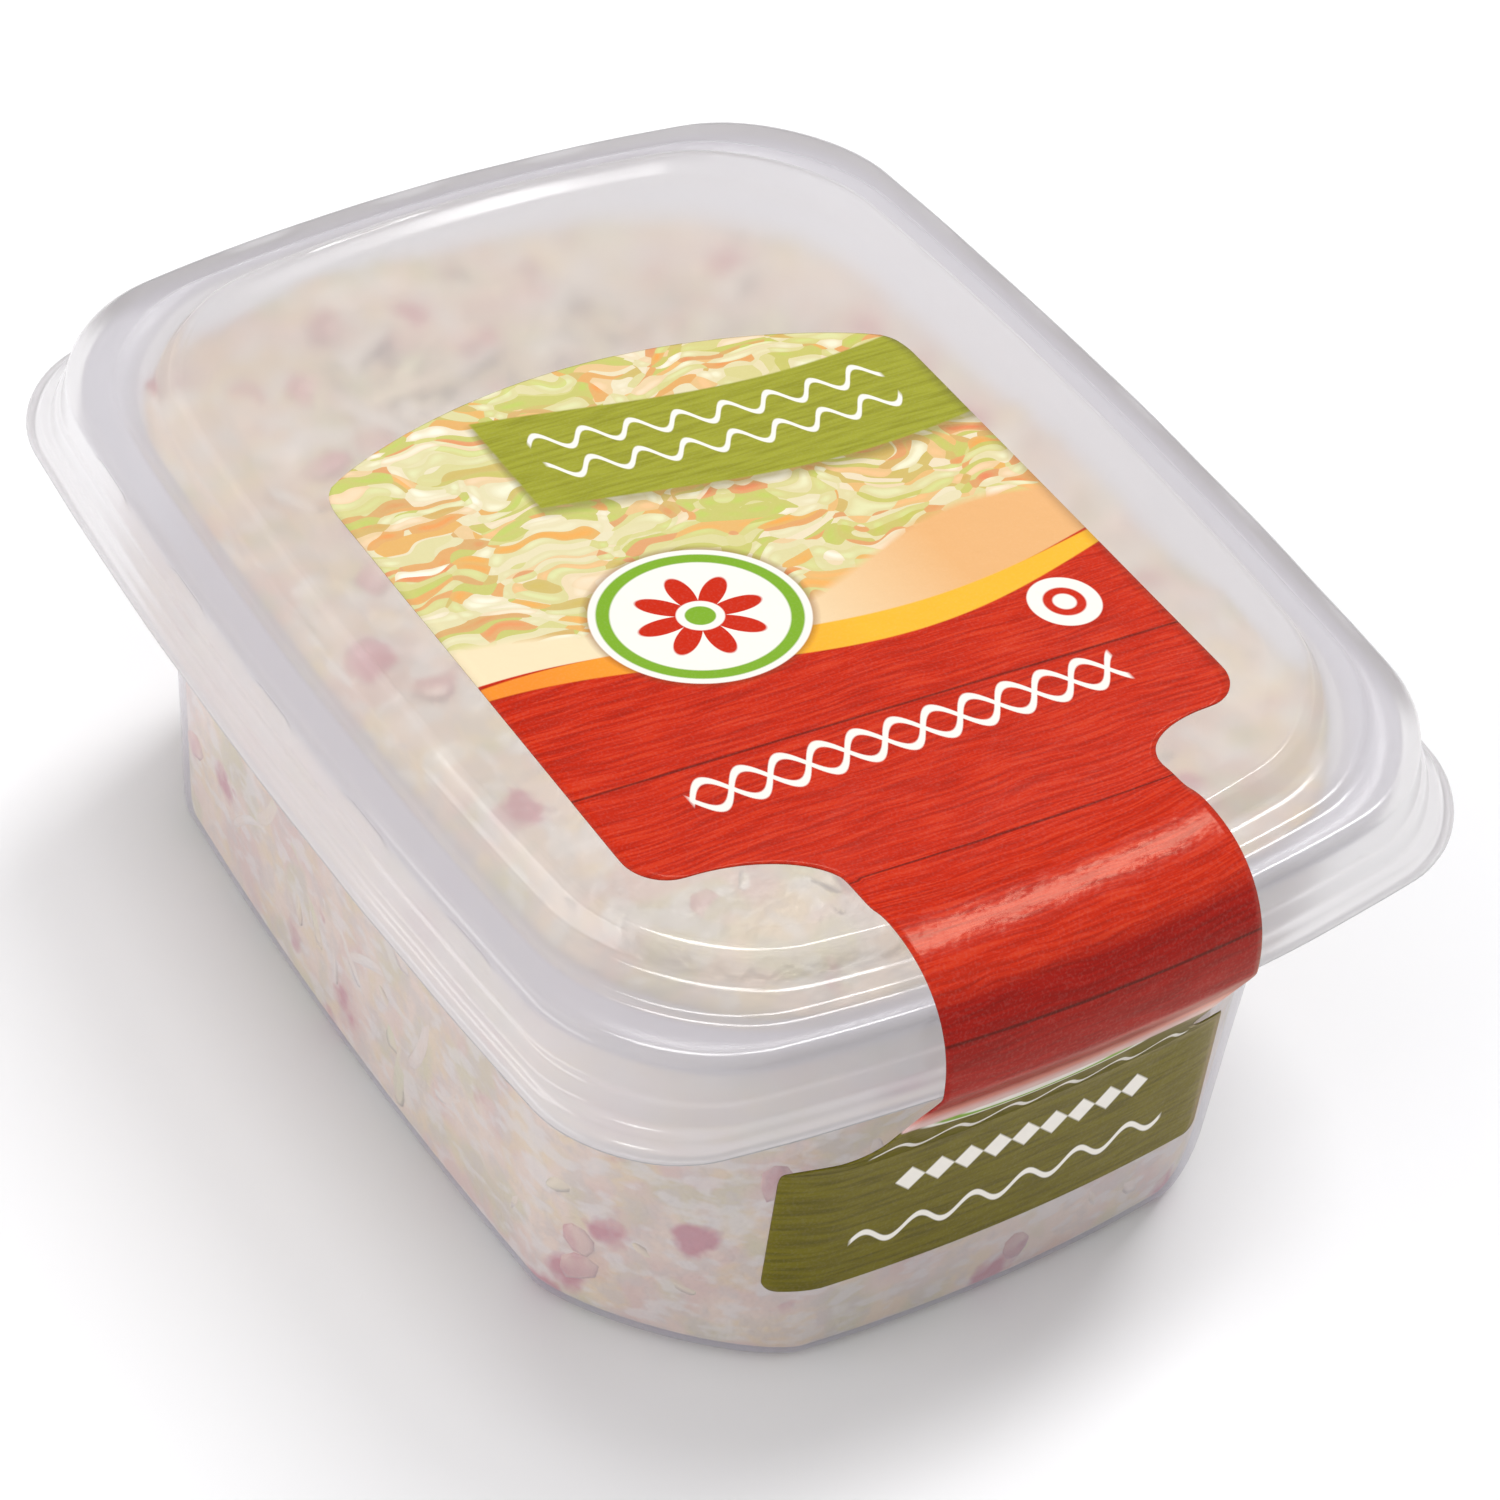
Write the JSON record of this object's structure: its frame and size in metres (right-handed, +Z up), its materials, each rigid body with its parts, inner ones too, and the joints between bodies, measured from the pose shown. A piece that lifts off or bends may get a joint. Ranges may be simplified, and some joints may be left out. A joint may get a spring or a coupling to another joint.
{
  "type": "tub of coleslaw",
  "caption": "Shut clear plastic tub of creamy coleslaw with ham pieces, with a stepped press-on lid and a paper-thin label over the lid and front wall.",
  "frame": {"origin": "under the middle of the tub, on the surface it stands on", "axes": "+Z up; +X to the right of the label as it is read; -Y towards the front, where the label's strip comes down"},
  "size_m": [0.1108, 0.1419, 0.0602],
  "materials": {
    "tub_plastic": "thin milky clear polypropylene",
    "lid_plastic": "thin milky clear polypropylene",
    "label_print": "printed satin film label",
    "salad": "creamy dressing over cabbage, carrot and ham, moist"
  },
  "bodies": {
    "root": {"tub": "tub_plastic", "lid": "lid_plastic", "label": "label_print", "coleslaw": "salad"}
  },
  "joints": []
}
